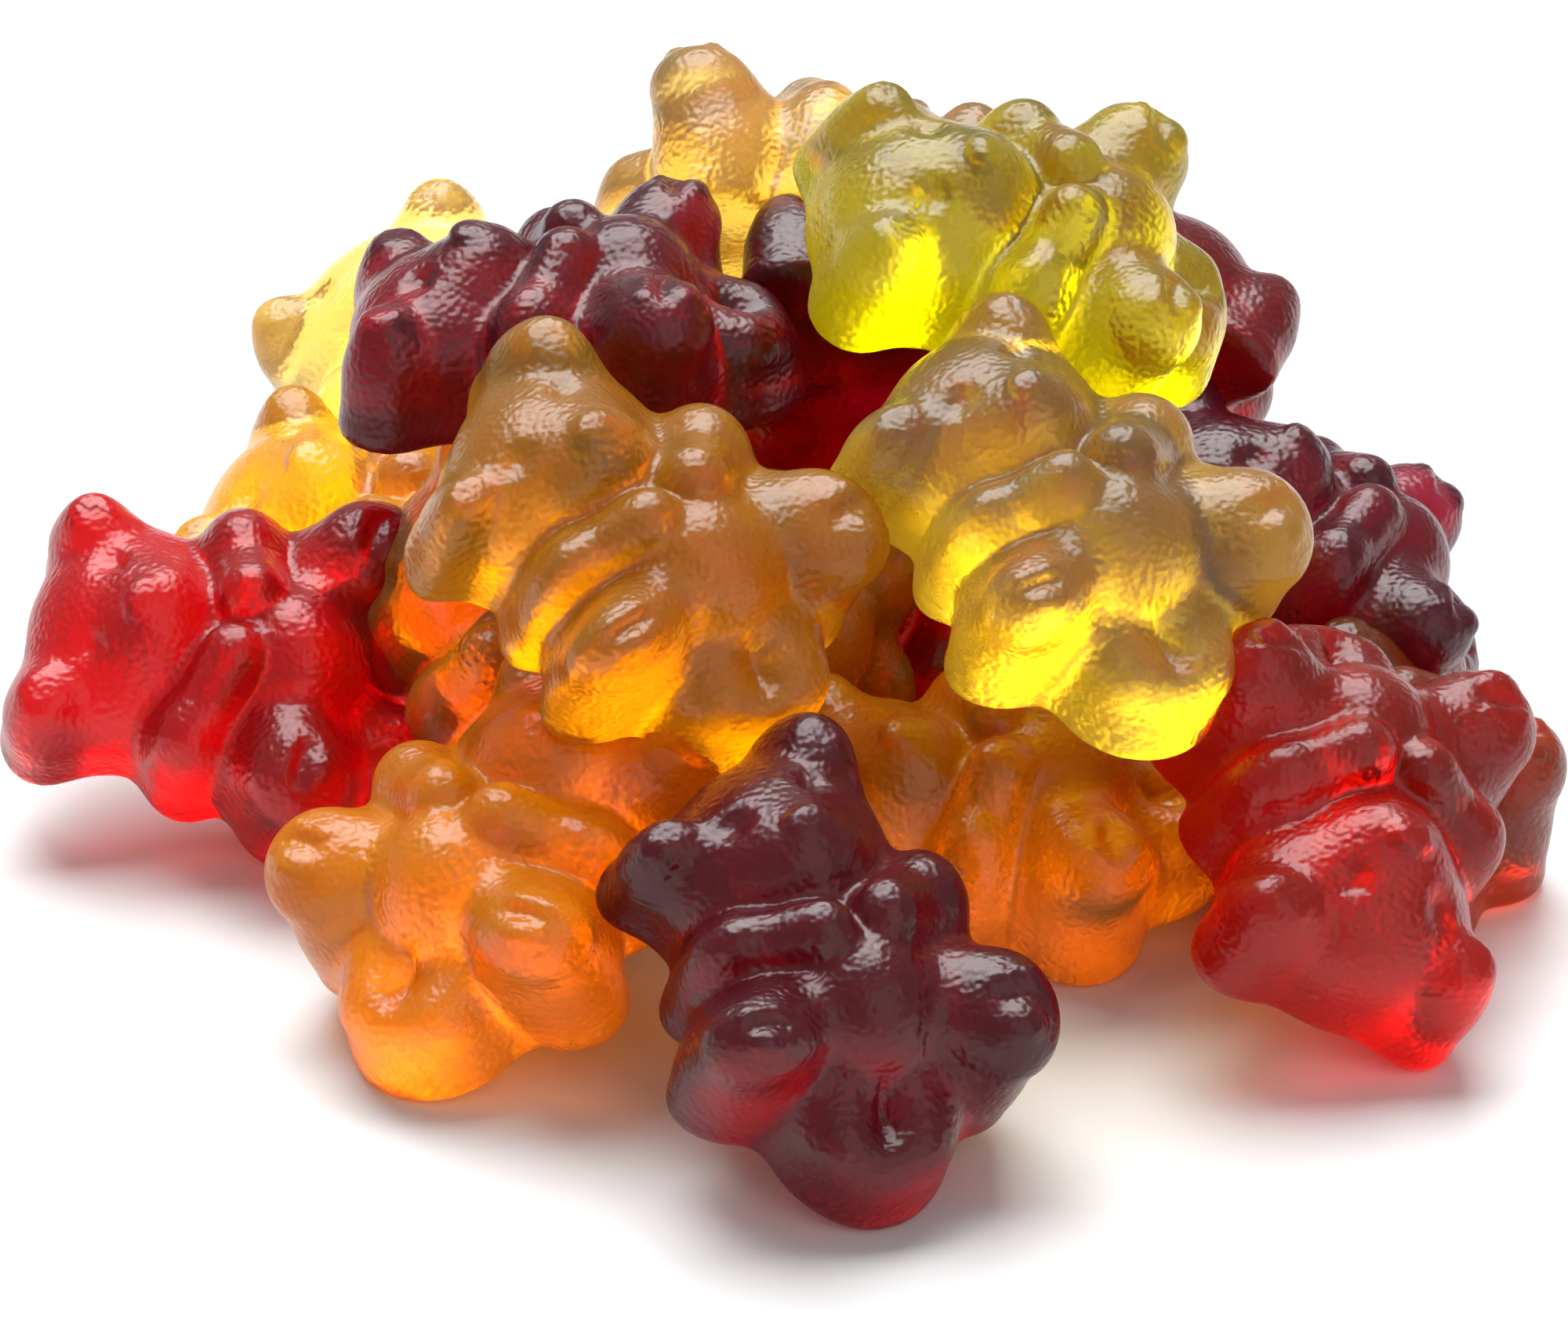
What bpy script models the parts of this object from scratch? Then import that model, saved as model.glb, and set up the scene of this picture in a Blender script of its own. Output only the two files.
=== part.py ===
"""A loose heap of gummy bears lying on a flat surface, as one closed solid.

Each bear is a flat-backed, moulded sweet: head with two ears and a snout, round belly with
the arms laid on it, two feet at the sides and two small lobes over the seat. The bears lie at
all angles on a low mound that fills the hidden middle of the heap. The bears and the mound
are fused, thinned to a light mesh and cut flat where the heap rests.
"""

import math

import bmesh
import bpy
from mathutils import Matrix, Vector

MM = 0.001                  # the sizes below are millimetres
HALF_THICKNESS = 5.0        # from a bear's flat back to the middle that its place names

# A bear's shape, with its back on z = 0, its head towards +Y and its face towards +Z.
# An egg is a centre and three half sizes. A limb is two centres, each with a radius.
# A shape off the midline is repeated on the other side.
EGGS = (
    ((0.0, 5.1, 2.8), (5.9, 5.0, 5.0)),         # head
    ((0.0, -1.5, 2.8), (6.2, 6.4, 5.2)),        # trunk
    ((0.0, -6.9, 2.2), (4.4, 4.4, 4.0)),        # seat
    ((0.0, -2.7, 4.8), (4.1, 4.2, 4.9)),        # belly
)
LIMBS = (
    ((4.6, 7.9, 2.4), 2.5, (4.7, 8.3, 3.8), 2.2),       # ear
    ((4.9, 1.0, 2.6), 2.5, (5.0, 1.0, 5.8), 2.1),       # shoulder
    ((5.1, -4.0, 3.0), 2.9, (6.1, -4.7, 6.6), 2.5),     # foot
    ((0.0, 4.2, 3.8), 3.2, (0.0, 4.1, 6.3), 2.8),       # snout
    ((4.5, 0.6, 6.2), 1.6, (1.7, -0.2, 8.3), 1.5),      # arm
    ((1.8, -6.5, 3.8), 1.8, (1.8, -8.6, 3.7), 1.7),     # seat lobe
)
BEND_LENGTH = 20.0          # a bear's bend is the turn over this much of its length

# Where each bear lies: x, y, z of its middle, then in degrees the way its face looks round
# the heap, how far its face looks up, how far its head leans, and its sideways bend.
BEARS = (
    (2.2, -25.0, 9.9, 30, 58, -4, 38),
    (-10.5, 9.5, 24.8, -5, 94, 93, 3),
    (26.5, 13.0, 9.8, 90, 52, 0, 5),
    (4.8, 20.3, 16.9, 180, 20, 0, 0),
    (-26.3, 2.9, 9.3, 8, 55, 70, 4),
    (18.0, 27.0, 13.0, 150, 10, 25, 10),
    (8.5, 10.0, 8.2, 0, 60, 90, 10),
    (26.6, -12.4, 10.3, 53, 56, 135, -14),
    (28.5, 0.5, 5.4, 0, 85, 8, 6),
    (-13.2, -14.6, 9.2, -42, 64, 5, -19),
    (9.8, -6.0, 6.9, 10, 75, 80, -8),
    (-2.3, 3.6, 11.3, 30, 40, 40, 10),
    (-6.2, -8.3, 22.0, 28, 57, 22, 46),
    (13.4, -6.7, 22.6, 30, 60, 9, 36),
    (-19.5, 16.0, 8.0, 0, 70, 60, 10),
    (-12.0, 2.0, 10.5, -20, 40, 60, 10),
    (12.0, 8.6, 29.0, 59, 61, 36, 5),
    (1.5, 25.5, 23.3, 175, 35, 85, 8),
    (-17.0, 27.0, 12.5, -30, 60, 60, 10),
    (0.0, 33.0, 9.0, 150, 60, 40, 0),
)

MOUND_HALF = (20.0, 22.0, 16.0)     # the hidden middle, half sizes of the egg it is cut from
MOUND_MIDDLE = (0.0, 5.0, 0.0)
VOXEL = 0.85                        # grain at which the bears and the mound are fused
SOLID_TRIANGLES = 8600              # the fused heap is thinned to about this many
FLAT_CUT = 0.4                      # height of the level cut on which the heap rests


def clear_scene():
    for thing in list(bpy.data.objects):
        bpy.data.objects.remove(thing)


def add_ball(shape, centre, half, rounds=2):
    """A ball stretched to three half sizes."""
    place = Matrix.Translation(Vector(centre)) @ Matrix.Diagonal((*half, 1.0))
    bmesh.ops.create_icosphere(shape, subdivisions=rounds, radius=1.0, matrix=place)


def add_limb(shape, start, start_radius, end, end_radius):
    """A round-ended limb: the hull of two balls."""
    limb = bmesh.new()
    add_ball(limb, start, [start_radius] * 3)
    add_ball(limb, end, [end_radius] * 3)
    hull = bmesh.ops.convex_hull(limb, input=limb.verts)
    hidden = set(hull["geom_interior"] + hull["geom_unused"])
    bmesh.ops.delete(limb, geom=[vertex for vertex in limb.verts if vertex in hidden], context="VERTS")
    add_mesh_of(limb, shape)
    limb.free()


def add_mesh_of(source, target):
    """Adds a copy of one working mesh to another."""
    copy = bpy.data.meshes.new("copy")
    source.to_mesh(copy)
    target.from_mesh(copy)
    bpy.data.meshes.remove(copy)


def mirrored(point):
    return (-point[0], point[1], point[2])


def bear_shape():
    """One straight bear, as overlapping closed shapes."""
    shape = bmesh.new()
    for centre, half in EGGS:
        add_ball(shape, centre, half)
    for start, start_radius, end, end_radius in LIMBS:
        add_limb(shape, start, start_radius, end, end_radius)
        if end[0] > 0.0:
            add_limb(shape, mirrored(start), start_radius, mirrored(end), end_radius)
    for vertex in shape.verts:
        vertex.co.z = max(vertex.co.z, 0.0)
    return shape


def bent(point, bend):
    """The point after the bear's length is bent sideways into an arc."""
    if bend == 0:
        return point.copy()
    radius = BEND_LENGTH / math.radians(bend)
    turn = (point.y + 1.0) / radius
    reach = radius + point.x
    return Vector((reach * math.cos(turn) - radius, reach * math.sin(turn) - 1.0, point.z))


def resting_place(x, y, z, facing, looking_up, lean):
    """Stands the bear up facing -Y, leans it, tips its face up, turns it and moves it."""
    upright = Matrix.Rotation(math.radians(90.0), 4, "X")
    leaning = Matrix.Rotation(math.radians(-lean), 4, "Y")
    tipped = Matrix.Rotation(math.radians(-looking_up), 4, "X")
    turned = Matrix.Rotation(math.radians(facing), 4, "Z")
    middle = Matrix.Translation((0.0, 0.0, -HALF_THICKNESS))
    return Matrix.Translation((x, y, z)) @ turned @ tipped @ leaning @ upright @ middle


def loose_heap():
    """All the bears in their places and the mound, still as overlapping shapes."""
    heap = bmesh.new()
    pattern = bear_shape()
    straight = [vertex.co.copy() for vertex in pattern.verts]
    for *place, bend in BEARS:
        matrix = resting_place(*place)
        for vertex, point in zip(pattern.verts, straight):
            vertex.co = matrix @ bent(point, bend)
        add_mesh_of(pattern, heap)
    pattern.free()
    add_ball(heap, MOUND_MIDDLE, MOUND_HALF, rounds=4)
    bmesh.ops.scale(heap, vec=(MM, MM, MM), verts=heap.verts)
    return heap


def shaped_by(thing, kind, **settings):
    """Applies one modifier to an object's mesh."""
    modifier = thing.modifiers.new(kind.lower(), kind)
    for name, value in settings.items():
        setattr(modifier, name, value)
    graph = bpy.context.evaluated_depsgraph_get()
    result = bpy.data.meshes.new_from_object(thing.evaluated_get(graph))
    thing.modifiers.clear()
    thing.data = result


def keep_outer_skin(mesh):
    """Removes the walls of sealed gaps inside the heap: only the largest shell stays."""
    skin = bmesh.new()
    skin.from_mesh(mesh)
    unseen = set(skin.verts)
    shells = []
    while unseen:
        edge_of_search = [unseen.pop()]
        shell = []
        while edge_of_search:
            vertex = edge_of_search.pop()
            shell.append(vertex)
            for edge in vertex.link_edges:
                neighbour = edge.other_vert(vertex)
                if neighbour in unseen:
                    unseen.remove(neighbour)
                    edge_of_search.append(neighbour)
        shells.append(shell)
    shells.sort(key=len)
    for shell in shells[:-1]:
        bmesh.ops.delete(skin, geom=shell, context="VERTS")
    skin.to_mesh(mesh)
    skin.free()


def cut_flat(mesh, height):
    """Cuts the heap level at a height and closes the cut with flat faces."""
    skin = bmesh.new()
    skin.from_mesh(mesh)
    everything = list(skin.verts) + list(skin.edges) + list(skin.faces)
    bmesh.ops.bisect_plane(
        skin,
        geom=everything,
        dist=1e-7,
        plane_co=(0.0, 0.0, height),
        plane_no=(0.0, 0.0, 1.0),
        clear_inner=True,
    )
    rim = [edge for edge in skin.edges if edge.is_boundary]
    bmesh.ops.triangle_fill(skin, edges=rim, use_beauty=True, normal=(0.0, 0.0, -1.0))
    bmesh.ops.recalc_face_normals(skin, faces=skin.faces)
    skin.to_mesh(mesh)
    skin.free()


def centre_on_floor(mesh):
    """Puts the middle of the heap's box over the origin and its flat base on z = 0."""
    low = Vector([min(vertex.co[axis] for vertex in mesh.vertices) for axis in range(3)])
    high = Vector([max(vertex.co[axis] for vertex in mesh.vertices) for axis in range(3)])
    middle = (low + high) / 2.0
    mesh.transform(Matrix.Translation((-middle.x, -middle.y, -low.z)))


def jelly():
    """Clear fruit jelly, amber as the middle of the heap's colours."""
    material = bpy.data.materials.new("fruit_jelly")
    material.use_nodes = True
    shader = material.node_tree.nodes["Principled BSDF"]
    shader.inputs["Base Color"].default_value = (0.70, 0.22, 0.02, 1.0)
    shader.inputs["Roughness"].default_value = 0.35
    shader.inputs["Metallic"].default_value = 0.0
    return material


def build():
    clear_scene()
    mesh = bpy.data.meshes.new("gummy_bear_heap")
    shapes = loose_heap()
    shapes.to_mesh(mesh)
    shapes.free()
    heap = bpy.data.objects.new("gummy_bear_heap", mesh)
    bpy.context.collection.objects.link(heap)
    shaped_by(heap, "REMESH", mode="VOXEL", voxel_size=VOXEL * MM)
    keep_outer_skin(heap.data)
    triangles = sum(len(face.vertices) - 2 for face in heap.data.polygons)
    shaped_by(heap, "DECIMATE", ratio=SOLID_TRIANGLES / triangles)
    cut_flat(heap.data, FLAT_CUT * MM)
    keep_outer_skin(heap.data)
    centre_on_floor(heap.data)
    heap.data.shade_smooth()
    heap.data.set_sharp_from_angle(angle=math.radians(50.0))
    heap.data.materials.clear()
    heap.data.materials.append(jelly())


build()
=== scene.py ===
import math

import bpy
import numpy as np
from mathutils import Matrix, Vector


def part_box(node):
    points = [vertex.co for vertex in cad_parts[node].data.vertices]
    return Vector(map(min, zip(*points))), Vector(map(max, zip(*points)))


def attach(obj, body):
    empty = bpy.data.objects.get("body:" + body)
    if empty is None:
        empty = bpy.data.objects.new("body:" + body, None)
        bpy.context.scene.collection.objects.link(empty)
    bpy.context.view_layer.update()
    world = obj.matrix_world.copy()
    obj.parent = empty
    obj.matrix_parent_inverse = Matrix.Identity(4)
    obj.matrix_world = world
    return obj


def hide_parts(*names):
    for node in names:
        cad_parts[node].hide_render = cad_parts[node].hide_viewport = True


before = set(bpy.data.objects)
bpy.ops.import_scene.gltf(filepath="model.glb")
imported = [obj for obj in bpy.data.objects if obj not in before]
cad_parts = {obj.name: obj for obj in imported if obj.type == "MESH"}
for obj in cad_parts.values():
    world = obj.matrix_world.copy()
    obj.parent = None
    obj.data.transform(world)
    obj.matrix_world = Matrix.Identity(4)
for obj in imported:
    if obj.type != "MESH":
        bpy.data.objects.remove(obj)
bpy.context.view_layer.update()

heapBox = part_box("gummy_bear_heap")
mm = 0.001

# The mould, in millimetres: back on z = 0, head towards +y, face towards +z.
# A disc is the plan of a lobe of the base: a centre, two half sizes and a blend.
# An egg is a centre, three half sizes and a blend. A limb is two centres, two radii and a blend.
# Whatever stands off the midline is there on both sides.
mould = {
    "baseHeight": 6.2,
    "topEdge": 2.5,           # roundness of the base's upper edge
    "backEdge": 1.3,          # roundness of the edge of the flat back
    "draft": 0.012,           # share by which the plan narrows over each mm of height
    "draftMiddle": 3.0,       # height at which the plan has its own size
    "base": [
        ((0.0, 5.2), (5.7, 4.9), 0.0),       # head
        ((4.5, 8.0), (2.4, 2.3), 1.6),       # ear
        ((0.0, -1.5), (5.6, 6.2), 2.2),      # trunk
        ((4.8, 1.0), (2.3, 2.3), 1.4),       # shoulder
        ((5.0, -4.1), (3.1, 2.9), 1.4),      # foot
        ((0.0, -6.9), (4.2, 4.3), 1.6),      # seat
    ],
    "relief": [
        ("egg", (0.0, 5.2, 4.2), (5.3, 4.6, 4.6), 1.6),              # face
        ("egg", (4.7, 8.2, 4.4), (2.0, 1.9, 3.3), 1.0),              # ear
        ("egg", (0.0, 0.4, 4.5), (4.8, 3.2, 4.2), 1.4),              # chest
        ("egg", (0.0, 4.0, 6.1), (3.3, 2.9, 4.0), 1.0),              # snout
        ("egg", (4.9, 1.0, 5.2), (2.3, 2.2, 3.6), 1.0),              # shoulder
        ("egg", (3.4, -3.4, 4.6), (3.4, 3.4, 4.2), 1.2),              # hip
        ("limb", (5.2, -3.9, 4.2), (6.1, -4.7, 7.4), 2.9, 2.6, 1.8),  # foot
        ("dent", (0.0, -7.6, 8.6), (3.7, 3.2, 3.9), 0.8),            # lap
        ("limb", (1.8, -6.4, 4.6), (1.8, -8.6, 4.2), 1.85, 1.7, 0.6),  # seat lobe
        ("egg", (0.0, -2.9, 5.2), (4.0, 4.0, 5.2), 1.1),             # belly
        ("limb", (4.4, 0.7, 6.8), (1.7, -0.2, 9.1), 1.6, 1.6, 0.7),  # arm and hand
        ("dent", (2.5, 7.0, 8.5), (1.0, 0.9, 1.0), 0.5),             # eye
        ("dent", (4.8, 8.5, 8.1), (1.1, 0.9, 0.8), 0.6),             # ear hollow
        ("egg", (0.0, 4.7, 9.8), (1.0, 0.8, 0.45), 0.5),             # nose
        ("dent", (6.3, -5.1, 10.6), (1.7, 1.9, 1.2), 0.5),           # sole
        ("egg", (6.3, -5.8, 9.3), (1.0, 0.8, 0.6), 0.4),             # pad
        ("limb", (5.6, -4.2, 9.6), (7.1, -4.2, 9.5), 0.4, 0.4, 0.4),  # toes
        ("cut", (1.3, -2.0, 10.7), (1.35, -1.1, 11.2), 0.3, 0.3, 0.3),  # between the fingers
        ("cut", (2.1, -1.9, 10.4), (2.15, -1.0, 10.9), 0.3, 0.3, 0.3),
    ],
}

# How the skin is found on the mould, in millimetres.
casting = {
    "gridSide": 56,           # squares along each edge of the ball grid
    "core": (0.0, -0.5, 3.4),  # where the rays start
    "outside": 15.0,          # reach of the rays before they are shortened
    "inwardSteps": 50,
    "stepShare": 0.7,         # share of the distance gone at each step
    "steps": (-0.5, 1.5),     # furthest out and furthest in at each step
    "shortestReach": 0.5,
    "spreadRounds": 9,
    "spread": 0.7,            # share of the way towards the neighbours' mean
    "drops": 2,
    "dropShare": 0.8,         # share of the distance dropped each time
    "longestDrop": 0.6,
    "flattest": 0.3,          # the square of the slope is taken as at least this
}


# Blends two distances, the smaller where they differ by more than the blend, an arc between.
def softMin(a, b, blend):
    if blend <= 0.0:
        return np.minimum(a, b)
    share = np.clip(0.5 + 0.5 * (b - a) / blend, 0.0, 1.0)
    return b + (a - b) * share - blend * share * (1.0 - share)


# The larger of two distances, blended in the same way: the smaller of their negatives, negated.
def softMax(a, b, blend):
    return -softMin(-a, -b, blend)


# Distance to a ball stretched by three half sizes: k(k - 1)/g, where k is the length of the
# point divided by the half sizes and g the length of that divided by them again.
def eggDistance(points, centre, half):
    half = np.array(half)
    scaled = (points - np.array(centre)) / half
    reach = np.linalg.norm(scaled, axis=1)
    steep = np.linalg.norm(scaled / half, axis=1)
    return reach * (reach - 1.0) / np.maximum(steep, 1e-6)


# Distance to a straight limb whose radius runs evenly from one round end to the other.
def limbDistance(points, start, end, startRadius, endRadius):
    start, along = np.array(start), np.array(end) - np.array(start)
    share = np.clip((points - start) @ along / (along @ along), 0.0, 1.0)
    middle = start + share[:, None] * along
    return np.linalg.norm(points - middle, axis=1) - (startRadius + (endRadius - startRadius) * share)


# Distance to the base: the plan's discs joined in two dimensions, then drawn up between the
# back and the top with round edges, the length of what lies outside both less the edge.
def baseDistance(folded):
    z = folded[:, 2:]
    plan = folded[:, :2] * (1.0 + mould["draft"] * (z - mould["draftMiddle"]))
    flat = np.full(len(folded), np.inf)
    for centre, half, blend in mould["base"]:
        flat = softMin(flat, eggDistance(plan, centre, half), blend)
    edge = mould["topEdge"]
    over = np.stack([flat + edge, folded[:, 2] - (mould["baseHeight"] - edge)], axis=1)
    outside = np.linalg.norm(np.maximum(over, 0.0), axis=1)
    return outside + np.minimum(over.max(axis=1), 0.0) - edge


# The bear as one distance, negative inside: the relief's forms joined to or cut from the
# base in turn, on the point folded over the midline, and the back pressed flat.
def bearDistance(points):
    folded = points.copy()
    folded[:, 0] = np.abs(points[:, 0])
    total = baseDistance(folded)
    for kind, *form in mould["relief"]:
        if kind in ("egg", "dent"):
            distance = eggDistance(folded, form[0], form[1])
        else:
            distance = limbDistance(folded, *form[:4])
        if kind in ("egg", "limb"):
            total = softMin(total, distance, form[-1])
        else:
            total = softMax(total, -distance, form[-1])
    return softMax(total, -points[:, 2], mould["backEdge"])


# The slope of a distance in x, y and z, from its values a short step to either side.
def slopeOf(distance, points, step=1e-3):
    steps = np.eye(3) * step
    sides = [distance(points + side) - distance(points - side) for side in steps]
    return np.stack(sides, axis=1) / (2.0 * step)


# A unit ball from six square grids of evenly spread angles: the grid point (tan u, tan v, 1)
# is shortened to length 1. Points on shared edges are merged. Returns points and quads.
def ballGrid(side):
    line = np.tan(np.linspace(-math.pi / 4.0, math.pi / 4.0, side + 1))
    u, v = np.meshgrid(line, line, indexing="ij")
    one = np.ones_like(u)
    sheets = [(one, u, v), (-one, v, u), (v, one, u), (u, -one, v), (u, v, one), (v, u, -one)]
    points = np.concatenate([np.stack(sheet, axis=-1).reshape(-1, 3) for sheet in sheets])
    index = np.arange(6 * (side + 1) ** 2).reshape(6, side + 1, side + 1)
    corners = [index[:, :-1, :-1], index[:, 1:, :-1], index[:, 1:, 1:], index[:, :-1, 1:]]
    quads = np.stack(corners, axis=-1).reshape(-1, 4)
    _, first, merged = np.unique(np.round(points, 6), axis=0, return_index=True, return_inverse=True)
    points = points[first]
    points /= np.linalg.norm(points, axis=1)[:, None]
    return points, merged.reshape(-1)[quads]


# The slope with its length taken out, so that it points straight off the skin.
def straightOff(slope):
    return slope / np.maximum(np.linalg.norm(slope, axis=1), 1e-6)[:, None]


# The bear's skin: every ray of the ball grid is shortened by a share of the distance until
# that is zero. Then the points spread along the skin, each by a share of the way to its
# neighbours' mean less what goes straight off the skin, and drop back by distance / slope.
def castBear():
    rays, quads = ballGrid(casting["gridSide"])
    core = np.array(casting["core"])
    reach = np.full(len(rays), casting["outside"])
    for _ in range(casting["inwardSteps"]):
        step = casting["stepShare"] * bearDistance(core + rays * reach[:, None])
        reach -= np.clip(step, *casting["steps"])
        reach = np.maximum(reach, casting["shortestReach"])
    points = core + rays * reach[:, None]
    ends = np.concatenate([quads[:, [0, 1]], quads[:, [1, 2]], quads[:, [2, 3]], quads[:, [3, 0]]])
    count = np.bincount(ends.ravel(), minlength=len(points))[:, None]
    for _ in range(casting["spreadRounds"]):
        sums = [
            np.bincount(ends[:, 0], points[ends[:, 1], axis], len(points))
            + np.bincount(ends[:, 1], points[ends[:, 0], axis], len(points))
            for axis in range(3)
        ]
        normal = straightOff(slopeOf(bearDistance, points))
        move = np.stack(sums, axis=1) / count - points
        along = move - normal * (move * normal).sum(axis=1)[:, None]
        points = points + casting["spread"] * along
        for _ in range(casting["drops"]):
            slope = slopeOf(bearDistance, points)
            steep = np.maximum((slope * slope).sum(axis=1), casting["flattest"])
            off = np.clip(bearDistance(points), -casting["longestDrop"], casting["longestDrop"])
            points = points - (casting["dropShare"] * off / steep)[:, None] * slope
    return points, quads


# How a bear differs from the mould and from the other bears, in millimetres.
softness = {
    "size": (1.0, 1.0, 0.92),
    "sizeSpread": 0.025,
    "swell": 0.28,
    "waves": (0.31, 0.27, 0.40),  # radians a mm in x, y and z
    "bendLength": 20.0,       # a bear's bend is the turn over this much of its length
    "bendMiddle": -1.0,       # the y that keeps its place
    "leastBend": 0.5,         # degrees, taken for any smaller bend
    "middleHeight": 5.0,      # height over the back of the middle that a bear's place names
}


# Stretches the bear a little and swells it by sin(ax + p) sin(by + q) sin(cz + r), with its
# own p, q and r for each direction. Then bends its length into an arc of radius length / turn:
# (x, y) goes to (radius + x) times (cos, sin) of y / radius, less the radius.
def softened(points, bend, seed):
    chance = np.random.default_rng(seed)
    phase = chance.uniform(0.0, 2.0 * math.pi, (3, 3))
    size = np.array(softness["size"])
    size = size + chance.uniform(-softness["sizeSpread"], softness["sizeSpread"], 3)
    wave = 1.0
    for axis, pace in enumerate(softness["waves"]):
        wave = wave * np.sin(pace * points[:, axis] + phase[:, axis : axis + 1])
    points = points * size + softness["swell"] * wave.T
    x, y, z = points.T
    if abs(bend) <= softness["leastBend"]:
        bend = softness["leastBend"]
    radius = softness["bendLength"] / math.radians(bend)
    middle = softness["bendMiddle"]
    arc = (y - middle) / radius
    bentX = (radius + x) * np.cos(arc) - radius
    bentY = (radius + x) * np.sin(arc) + middle
    return np.stack([bentX, bentY, z - softness["middleHeight"]], axis=1)


# Stands the bear up facing -y, leans its head over, tips its face up, turns it and moves it:
# the four turns are multiplied into one matrix.
def laid(points, middle, facing, lookingUp, lean):
    f, u, s = (math.radians(angle) for angle in (facing, -lookingUp, -lean))
    turned = np.array([[math.cos(f), -math.sin(f), 0], [math.sin(f), math.cos(f), 0], [0, 0, 1]])
    tipped = np.array([[1, 0, 0], [0, math.cos(u), -math.sin(u)], [0, math.sin(u), math.cos(u)]])
    leaned = np.array([[math.cos(s), 0, math.sin(s)], [0, 1, 0], [-math.sin(s), 0, math.cos(s)]])
    upright = np.array([[1, 0, 0], [0, 0, -1], [0, 1, 0]])
    return points @ (turned @ tipped @ leaned @ upright).T + np.array(middle)


# Each kind of bear. Passes is the share of red, green and blue light that is left after
# 10 mm of the jelly, haze the colour of its cloudiness, and clear the share that isn't
# cloudy. A bear is x, y, z of its middle in mm, then degrees: facing, looking up, lean, bend.
kinds = {
    "wine_bears": {
        "slot": "jelly_wine", "passes": (0.44, 0.006, 0.05), "haze": (0.38, 0.025, 0.08), "clear": 0.93,
        "bears": [
            (2.2, -25.0, 9.9, 30, 58, -4, 38),
            (-10.5, 9.5, 24.8, -5, 94, 93, 3),
            (26.5, 13.0, 9.8, 90, 52, 0, 5),
            (4.8, 20.3, 16.9, 180, 20, 0, 0),
        ],
    },
    "cherry_bears": {
        "slot": "jelly_red", "passes": (0.74, 0.004, 0.02), "haze": (0.66, 0.015, 0.03), "clear": 0.92,
        "bears": [
            (-26.3, 2.9, 9.3, 8, 55, 70, 4),
        ],
    },
    "garnet_bears": {
        "slot": "jelly_wine", "passes": (0.58, 0.004, 0.02), "haze": (0.48, 0.015, 0.03), "clear": 0.92,
        "bears": [
            (18.0, 27.0, 13.0, 150, 10, 25, 10),
            (8.5, 10.0, 8.2, 0, 60, 90, 10),
        ],
    },
    "coral_bears": {
        "slot": "jelly_coral", "passes": (0.88, 0.035, 0.012), "haze": (0.76, 0.05, 0.01), "clear": 0.93,
        "bears": [
            (26.6, -12.4, 10.3, 53, 56, 135, -14),
        ],
    },
    "rust_bears": {
        "slot": "jelly_coral", "passes": (0.92, 0.20, 0.02), "haze": (0.84, 0.20, 0.02), "clear": 0.92,
        "bears": [
            (27.9, 0.5, 5.4, 0, 85, 8, 6),
        ],
    },
    "orange_bears": {
        "slot": "jelly_orange", "passes": (0.97, 0.56, 0.01), "haze": (1.0, 0.43, 0.003), "clear": 0.76,
        "bears": [
            (-13.2, -14.6, 9.2, -42, 64, 5, -19),
            (9.8, -6.0, 6.9, 10, 75, 80, -8),
            (-2.3, 3.6, 11.3, 30, 40, 40, 10),
        ],
    },
    "amber_bears": {
        "slot": "jelly_amber", "passes": (0.90, 0.62, 0.012), "haze": (0.80, 0.46, 0.03), "clear": 0.86,
        "bears": [
            (-6.2, -8.3, 22.0, 28, 57, 22, 46),
        ],
    },
    "lemon_bears": {
        "slot": "jelly_lemon", "passes": (0.98, 0.79, 0.12), "haze": (0.97, 0.80, 0.30), "clear": 0.94,
        "bears": [
            (13.4, -6.7, 22.6, 30, 60, 9, 36),
        ],
    },
    "honey_bears": {
        "slot": "jelly_orange", "passes": (0.98, 0.68, 0.03), "haze": (1.0, 0.62, 0.06), "clear": 0.88,
        "bears": [
            (-19.5, 16.0, 8.0, 0, 70, 60, 10),
            (-12.0, 2.0, 10.5, -20, 40, 60, 10),
        ],
    },
    "lime_bears": {
        "slot": "jelly_lime", "passes": (0.93, 0.85, 0.006), "haze": (0.88, 0.80, 0.05), "clear": 0.93,
        "bears": [
            (12.0, 8.6, 29.0, 59, 61, 36, 5),
        ],
    },
    "peach_bears": {
        "slot": "jelly_peach", "passes": (0.99, 0.80, 0.24), "haze": (1.0, 0.80, 0.36), "clear": 0.92,
        "bears": [
            (1.5, 25.5, 23.3, 175, 35, 85, 8),
            (-17.0, 27.0, 12.5, -30, 60, 60, 10),
            (0.0, 33.0, 9.0, 150, 60, 40, 0),
        ],
    },
}

jellySkin = {
    "roughness": (0.22, 0.36),
    "bendOfLight": 1.43,
    "passDepth": 10.0,        # mm of jelly that each kind's passes are for
    "grainSize": 0.32,        # mm
    "grainDepth": 0.10,       # mm
    "cloudSize": 5.0,         # mm
    "cloudShare": 0.8,        # of the roughness, the rest is grain
    "cloudHeight": 2.0,       # against the grain's, in the bump
    "bump": 0.6,
}


# One output of a node that can be used in arithmetic: each operator adds a Math node.
class Wire:
    def __init__(self, tree, socket):
        self.tree, self.socket = tree, socket

    def maths(self, operation, *values):
        return addNode(self.tree, "ShaderNodeMath", {"operation": operation}, dict(enumerate(values)))[0]

    def __add__(self, other):
        return self.maths("ADD", self, other)

    def __mul__(self, other):
        return self.maths("MULTIPLY", self, other)

    __radd__, __rmul__ = __add__, __mul__


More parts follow.
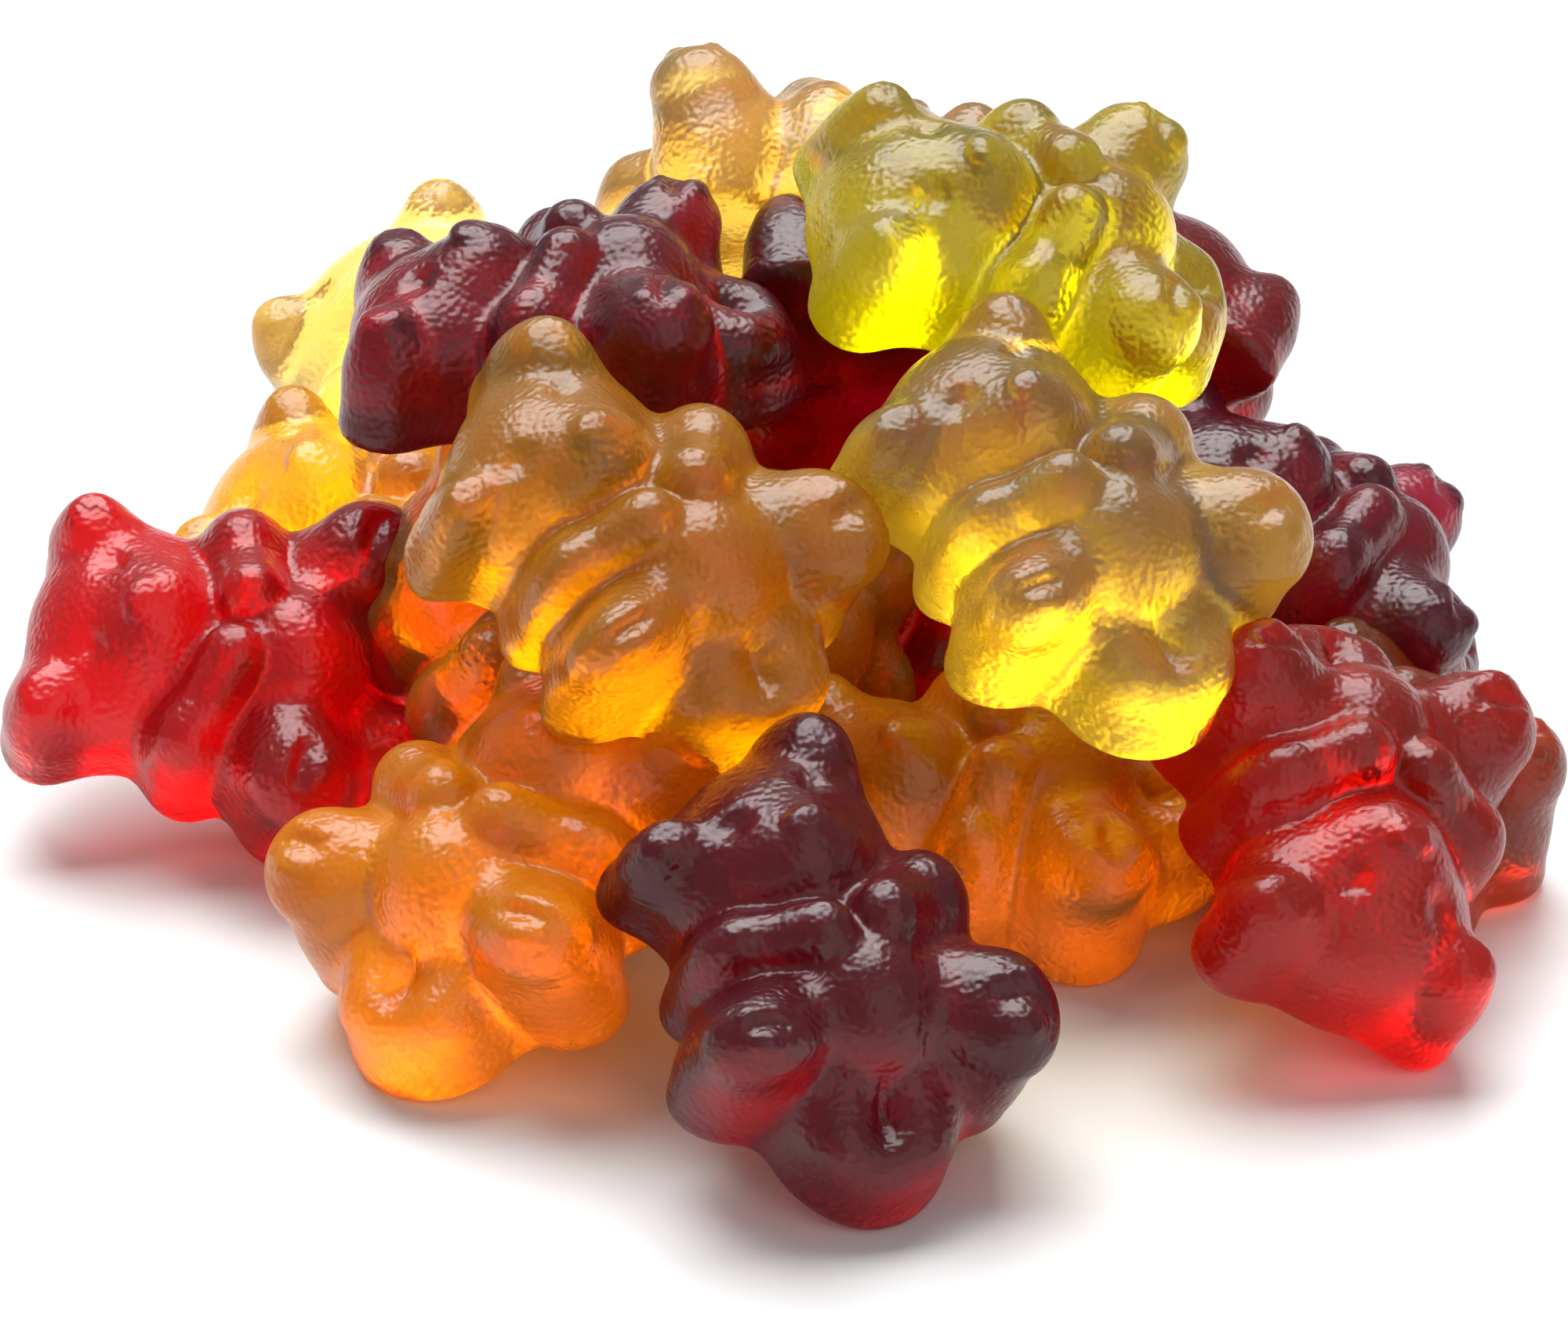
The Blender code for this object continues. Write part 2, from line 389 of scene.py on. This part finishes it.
# Adds a node: its settings first, then the values or links of its sockets. Returns its outputs.
def addNode(tree, kind, settings=None, sockets=None):
    node = tree.nodes.new(kind)
    for name, value in (settings or {}).items():
        setattr(node, name, value)
    for name, value in (sockets or {}).items():
        if isinstance(value, Wire):
            tree.links.new(value.socket, node.inputs[name])
        else:
            node.inputs[name].default_value = value
    return [Wire(tree, output) for output in node.outputs]


# A material with no nodes but its Object coordinates. Returns it, its tree and those.
def newMaterial(name):
    material = bpy.data.materials.new(name)
    material.use_nodes = True
    material.node_tree.nodes.clear()
    return material, material.node_tree, addNode(material.node_tree, "ShaderNodeTexCoord")[3]


# Noise about 0.5 whose lumps are about as wide as the size in mm.
def noise(tree, place, size, detail=0.0):
    scale = 1.0 / (size * mm)
    return addNode(tree, "ShaderNodeTexNoise", None, {"Vector": place, "Scale": scale, "Detail": detail})[0]


# Clear jelly: it takes its colour from the depth of jelly that the light crosses. What is
# left after a depth is exp(-density (1 - colour) depth), solved for density and colour.
def jelly(name, kind):
    material, tree, place = newMaterial(name)
    taken = -np.log(np.array(kind["passes"])) / (jellySkin["passDepth"] * mm)
    density = float(taken.max())
    grain = noise(tree, place, jellySkin["grainSize"])
    cloud = noise(tree, place, jellySkin["cloudSize"], 1.0)
    low, high = jellySkin["roughness"]
    share = jellySkin["cloudShare"]
    roughness = low + (high - low) * (cloud * share + grain * (1.0 - share))
    bump = addNode(tree, "ShaderNodeBump", None, {
        "Height": grain + cloud * jellySkin["cloudHeight"],
        "Strength": jellySkin["bump"],
        "Distance": jellySkin["grainDepth"] * mm,
    })[0]
    shader = addNode(tree, "ShaderNodeBsdfPrincipled", None, {
        "Base Color": (*kind["haze"], 1.0),
        "Roughness": roughness,
        "Normal": bump,
        "IOR": jellySkin["bendOfLight"],
        "Transmission Weight": kind["clear"],
    })[0]
    inside = addNode(tree, "ShaderNodeVolumeAbsorption", None, {
        "Color": (*(1.0 - taken / density), 1.0), "Density": density})[0]
    addNode(tree, "ShaderNodeOutputMaterial", None, {"Surface": shader, "Volume": inside})
    return material


# One mesh from arrays of points in metres and quads, shaded smooth.
def meshPiece(name, points, quads, material):
    mesh = bpy.data.meshes.new(name)
    mesh.vertices.add(len(points))
    mesh.vertices.foreach_set("co", points.astype(np.float32).ravel())
    mesh.loops.add(quads.size)
    mesh.loops.foreach_set("vertex_index", quads.astype(np.int32).ravel())
    mesh.polygons.add(len(quads))
    mesh.polygons.foreach_set("loop_start", np.arange(0, quads.size, quads.shape[1], dtype=np.int32))
    mesh.update(calc_edges=True)
    mesh.validate()
    mesh.shade_smooth()
    mesh.materials.append(material)
    piece = bpy.data.objects.new(name, mesh)
    bpy.context.collection.objects.link(piece)
    return piece


bear, bearQuads = castBear()
print("mould", len(bear), "points", bear.min(axis=0).round(2), bear.max(axis=0).round(2))

placedBears = {}
seed = 1
for name, kind in kinds.items():
    placedBears[name] = []
    for *middle, facing, lookingUp, lean, bend in kind["bears"]:
        placedBears[name].append(laid(softened(bear, bend, seed), middle, facing, lookingUp, lean))
        seed += 1

# The whole heap is moved so that the middle of its box lies over the middle of the frame's.
everyPoint = np.concatenate([points for group in placedBears.values() for points in group])
boxMiddle = (np.array(heapBox[0]) + np.array(heapBox[1])) / 2.0
shift = boxMiddle - (everyPoint.min(axis=0) + everyPoint.max(axis=0)) / 2.0 * mm
shift[2] = 0.0
print("heap", (np.ptp(everyPoint, axis=0)).round(1), "mm, moved", (shift / mm).round(2))

floorGap = 0.05               # mm, from the floor to the undersides of the lowest bears
for name, kind in kinds.items():
    group = placedBears[name]
    points = np.concatenate(group) * mm + shift
    points[:, 2] = np.maximum(points[:, 2], floorGap * mm)
    quads = np.concatenate([bearQuads + i * len(bear) for i in range(len(group))])
    piece = meshPiece(name, points, quads, jelly(kind["slot"], kind))
    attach(piece, "root")
    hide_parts("gummy_bear_heap")
    print("piece", name, len(group), "bears", 2 * len(quads), "triangles")

floorLook = {
    "reach": 1.6,             # metres from the middle to each side
    "squares": 8,             # along each side
    "colour": (0.72, 0.72, 0.72),
    "roughness": (0.50, 0.60),
    "grainSize": 6.0,         # mm
}


# A level sheet of matt card as a grid of squares, its sheen varied a little by noise.
def paleFloor():
    line = np.linspace(-floorLook["reach"], floorLook["reach"], floorLook["squares"] + 1)
    x, y = np.meshgrid(line, line, indexing="ij")
    points = np.stack([x, y, np.zeros_like(x)], axis=-1).reshape(-1, 3)
    index = np.arange(x.size).reshape(x.shape)
    corners = [index[:-1, :-1], index[1:, :-1], index[1:, 1:], index[:-1, 1:]]
    material, tree, place = newMaterial("pale_floor")
    grain = noise(tree, place, floorLook["grainSize"])
    low, high = floorLook["roughness"]
    shader = addNode(tree, "ShaderNodeBsdfPrincipled", None, {
        "Base Color": (*floorLook["colour"], 1.0), "Roughness": low + (high - low) * grain})[0]
    addNode(tree, "ShaderNodeOutputMaterial", None, {"Surface": shader})
    return meshPiece("floor", points, np.stack(corners, axis=-1).reshape(-1, 4), material)


paleFloor()

studio = {
    "sky": 0.38,
    "lamps": [
        # place in metres, width, watts, aimed at
        ((-0.05, 0.24, 0.55), 0.55, 8.0, (0.0, 0.0, 0.01)),
        ((0.40, -0.60, 0.40), 0.80, 1.4, (0.0, 0.0, 0.01)),
    ],
    "aim": (0.0, 0.0, 0.010),
    "elevation": 30.0,        # degrees
    "distance": 0.330,
    "lens": 158.8,            # mm, on the sensor width below
    "sensor": 36.0,
    "clip": (0.01, 10.0),
}


# An even white sky, square lamps, and a camera that looks at its aim from the distance along
# (0, -cos, sin) of the elevation. The aim moves with the heap, so the view of it stays.
def lightAndCamera(shift):
    world = bpy.data.worlds.new("studio")
    world.use_nodes = True
    sky = world.node_tree.nodes["Background"]
    sky.inputs["Color"].default_value = (1.0, 1.0, 1.0, 1.0)
    sky.inputs["Strength"].default_value = studio["sky"]
    bpy.context.scene.world = world
    for number, (place, width, watts, aim) in enumerate(studio["lamps"]):
        lamp = bpy.data.lights.new(f"softbox_{number}", "AREA")
        lamp.size, lamp.energy = width, watts
        holder = bpy.data.objects.new(lamp.name, lamp)
        holder.location = place
        holder.rotation_euler = (Vector(aim) - Vector(place)).to_track_quat("-Z", "Y").to_euler()
        bpy.context.collection.objects.link(holder)
    rise = math.radians(studio["elevation"])
    back = Vector((0.0, -math.cos(rise), math.sin(rise)))
    camera = bpy.data.cameras.new("camera")
    camera.lens, camera.sensor_width = studio["lens"], studio["sensor"]
    camera.clip_start, camera.clip_end = studio["clip"]
    holder = bpy.data.objects.new("camera", camera)
    holder.location = Vector(studio["aim"]) + Vector(shift) + back * studio["distance"]
    holder.rotation_euler = (-back).to_track_quat("-Z", "Y").to_euler()
    bpy.context.collection.objects.link(holder)
    bpy.context.scene.camera = holder
    bpy.context.scene.view_settings.view_transform = "Standard"  # keeps the jelly's colours full


lightAndCamera(shift)
print("light and camera set")
